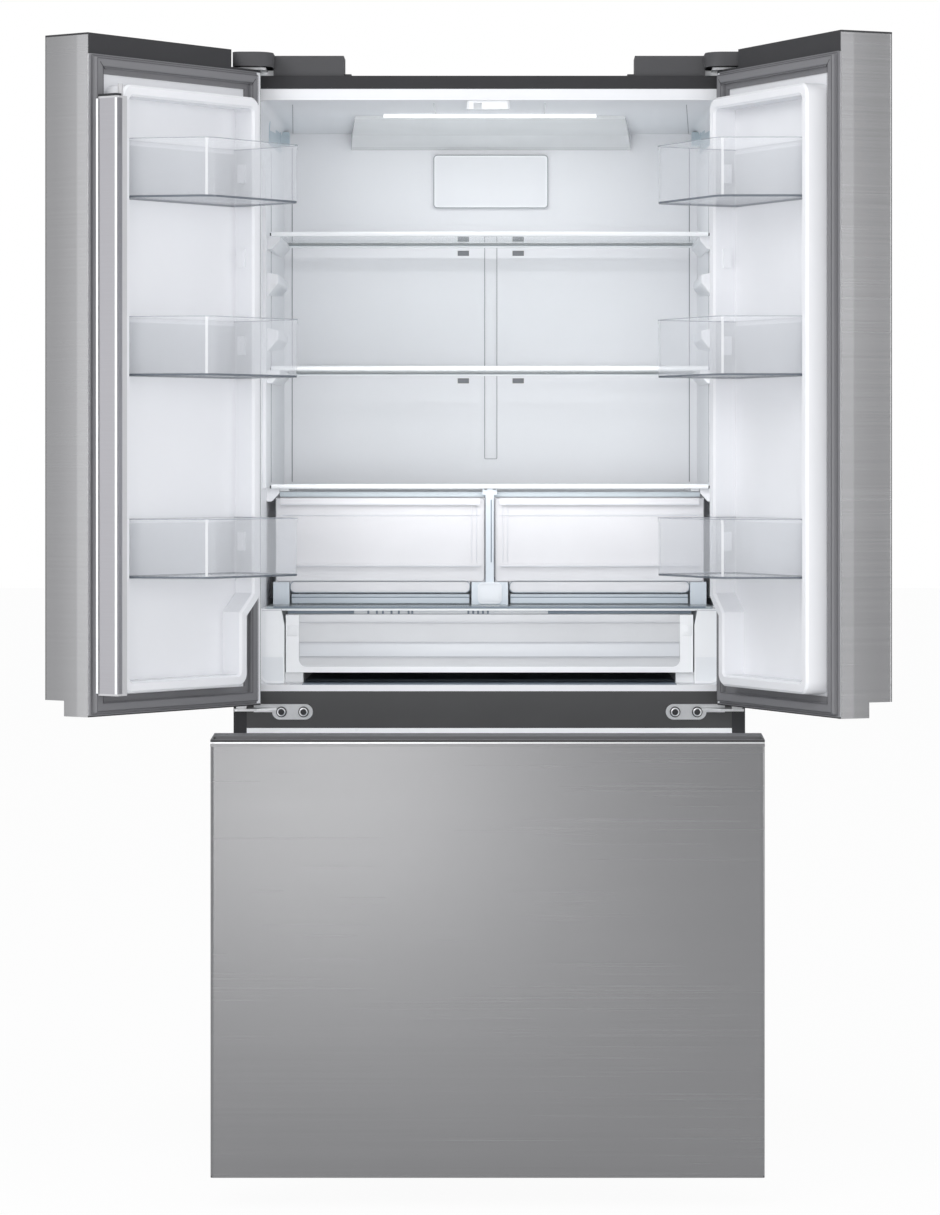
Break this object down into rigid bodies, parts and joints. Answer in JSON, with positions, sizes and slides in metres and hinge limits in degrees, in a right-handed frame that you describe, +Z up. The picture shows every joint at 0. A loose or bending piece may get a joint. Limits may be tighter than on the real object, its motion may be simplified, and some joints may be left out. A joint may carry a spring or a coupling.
{
  "type": "french door refrigerator",
  "caption": "Freestanding french door refrigerator with swinging upper doors, shelves, crispers, a pantry drawer and a pull-out freezer drawer below.",
  "frame": {"origin": "on the floor, under the middle of the cabinet's footprint, the doors and drawer not counted", "axes": "+X to the right as seen from the front, +Y towards the back of the cabinet, +Z up"},
  "size_m": [1.3085, 1.1605, 1.78],
  "materials": {
    "charcoal_paint": "satin",
    "stainless": "brushed",
    "galvanised": "satin",
    "zinc_steel": "satin",
    "white_liner": "gloss",
    "light_trim": "gloss",
    "grey_cap": "matte",
    "grey_bar": "matte",
    "seal": "matte",
    "foam": "matte",
    "shelf_glass": "gloss",
    "clear_plastic": "gloss",
    "lamp_lens": "gloss",
    "black_paint": "satin",
    "coil_metal": "satin",
    "black_plastic": "matte"
  },
  "bodies": {
    "cabinet": {"cabinet_wrap": "charcoal_paint", "back_panel": "galvanised", "cabinet_insulation": "foam", "fridge_liner": "white_liner", "freezer_liner": "white_liner", "mid_rail": "charcoal_paint", "base_frame": "galvanised", "machine_cover": "black_plastic", "compressor": "black_paint", "condenser_coil": "coil_metal", "evaporator_coil": "coil_metal", "freezer_back_cover": "white_liner", "duct_panel": "light_trim", "light_strip": "lamp_lens", "light_housing": "lamp_lens", "mullion_guide": "light_trim", "upper_shelf_glass": "shelf_glass", "upper_shelf_trims": "light_trim", "middle_shelf_glass": "shelf_glass", "middle_shelf_trims": "light_trim", "crisper_cover_glass": "shelf_glass", "crisper_cover_frame": "light_trim", "crisper_supports": "light_trim", "pantry_cover_glass": "shelf_glass", "pantry_rail_covers": "light_trim", "hinge_brackets": "zinc_steel", "hinge_covers": "grey_cap", "levelling_legs": "black_plastic", "drawer_outer_slides": "zinc_steel"},
    "left_door": {"left_door_skin": "stainless", "left_door_caps": "grey_cap", "left_door_liner": "white_liner", "left_door_insulation": "foam", "left_door_gasket": "seal", "left_door_bins": "clear_plastic", "mullion_lugs": "grey_bar"},
    "mullion": {"mullion_bar": "grey_bar", "mullion_face": "stainless"},
    "right_door": {"right_door_skin": "stainless", "right_door_caps": "grey_cap", "right_door_liner": "white_liner", "right_door_insulation": "foam", "right_door_gasket": "seal", "right_door_bins": "clear_plastic"},
    "freezer_drawer": {"drawer_skin": "stainless", "drawer_caps": "grey_cap", "drawer_liner": "white_liner", "drawer_insulation": "foam", "drawer_gasket": "seal", "drawer_basket": "white_liner", "drawer_inner_slides": "zinc_steel"},
    "drawer_slides": {"drawer_middle_slides": "zinc_steel"},
    "left_crisper": {"crisper_left": "clear_plastic"},
    "right_crisper": {"crisper_right": "clear_plastic"},
    "pantry": {"pantry_drawer": "clear_plastic"},
    "tray": {"freezer_tray": "white_liner"},
    "left_roller": {"rear_roller_left": "black_plastic"},
    "right_roller": {"rear_roller_right": "black_plastic"},
    "condenser_blades": {"condenser_fan": "black_plastic"},
    "evaporator_blades": {"evaporator_fan": "black_plastic"}
  },
  "joints": [
    {"name": "left_door_hinge", "type": "hinge", "parent": "cabinet", "child": "left_door", "pos_m": [-0.4005, -0.3518, 1.253], "axis": [0, 0, -1], "range_deg": [-126.5, 3.5]},
    {"name": "right_door_hinge", "type": "hinge", "parent": "cabinet", "child": "right_door", "pos_m": [0.4005, -0.3518, 1.253], "axis": [0, 0, 1], "range_deg": [-114.3, 15.7]},
    {"name": "mullion_flip", "type": "hinge", "parent": "left_door", "child": "mullion", "pos_m": [-0.59173, -0.69017, 1.22025], "axis": [0, 0, 1], "range_deg": [-90, 0]},
    {"name": "freezer_drawer_slide", "type": "slide", "parent": "cabinet", "child": "freezer_drawer", "axis": [0, -1, 0], "range_m": [-0.432, 0.018]},
    {"name": "drawer_middle_slide", "type": "slide", "parent": "cabinet", "child": "drawer_slides", "axis": [0, -1, 0], "range_m": [-0.216, 0.009]},
    {"name": "left_crisper_slide", "type": "slide", "parent": "cabinet", "child": "left_crisper", "axis": [0, -1, 0], "range_m": [0, 0.235]},
    {"name": "right_crisper_slide", "type": "slide", "parent": "cabinet", "child": "right_crisper", "axis": [0, -1, 0], "range_m": [0, 0.235]},
    {"name": "pantry_slide", "type": "slide", "parent": "cabinet", "child": "pantry", "axis": [0, -1, 0], "range_m": [0, 0.33]},
    {"name": "tray_slide", "type": "slide", "parent": "cabinet", "child": "tray", "axis": [0, -1, 0], "range_m": [0, 0.3]},
    {"name": "left_roller_spin", "type": "hinge", "parent": "cabinet", "child": "left_roller", "pos_m": [-0.346, 0.2535, 0.018], "axis": [1, 0, 0], "continuous": true},
    {"name": "right_roller_spin", "type": "hinge", "parent": "cabinet", "child": "right_roller", "pos_m": [0.346, 0.2535, 0.018], "axis": [1, 0, 0], "continuous": true},
    {"name": "condenser_fan_spin", "type": "hinge", "parent": "cabinet", "child": "condenser_blades", "pos_m": [0.038, 0.198, 0.124], "axis": [1, 0, 0], "continuous": true},
    {"name": "evaporator_fan_spin", "type": "hinge", "parent": "cabinet", "child": "evaporator_blades", "pos_m": [0, 0.1525, 0.591], "axis": [0, 1, 0], "continuous": true}
  ],
  "couplings": [
    {"joint": "drawer_middle_slide", "follows": "freezer_drawer_slide", "ratio": 0.5}
  ]
}
